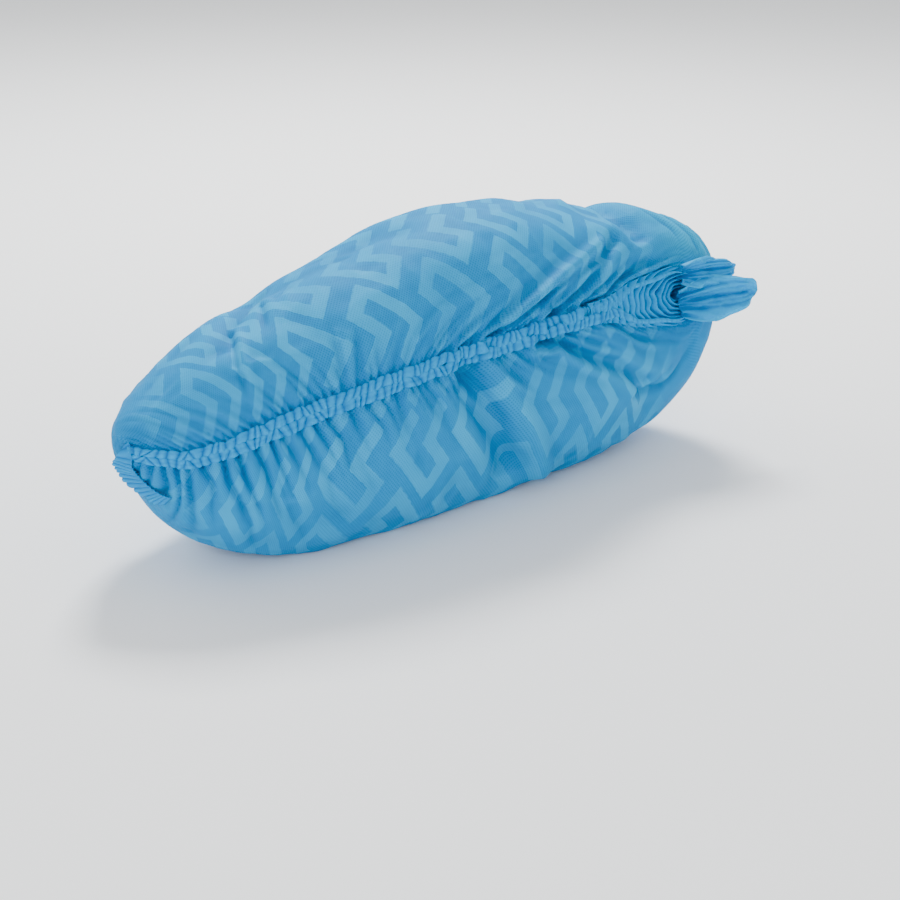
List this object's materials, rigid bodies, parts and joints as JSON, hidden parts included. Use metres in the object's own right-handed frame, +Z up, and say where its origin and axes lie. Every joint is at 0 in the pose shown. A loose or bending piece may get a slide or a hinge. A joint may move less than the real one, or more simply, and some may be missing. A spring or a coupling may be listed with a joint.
{
  "type": "disposable shoe cover",
  "caption": "Nonwoven slip-on shoe cover, stuffed open and lying on its side, with a gathered elastic hem round its long mouth.",
  "frame": {"origin": "on the floor under the middle of the whole cover", "axes": "+X from the toe end to the heel end with the tuft, +Z up, the mouth faces -Y and a little up"},
  "size_m": [0.3082, 0.103, 0.1215],
  "materials": {
    "nonwoven_cloth": "thin spunbond nonwoven, matt, with a slight sheen",
    "elastic_hem": "nonwoven gathered tightly over elastic, matt",
    "tuft_cloth": "loose folded nonwoven, matt",
    "welded_seam": "welded double layer of nonwoven, matt"
  },
  "bodies": {
    "root": {"cover_shell": "nonwoven_cloth", "hem_upper": "elastic_hem", "hem_lower": "elastic_hem", "tuft_leaf_long": "tuft_cloth", "tuft_leaf_short": "tuft_cloth", "toe_seam": "welded_seam", "heel_seam": "welded_seam"}
  },
  "joints": []
}
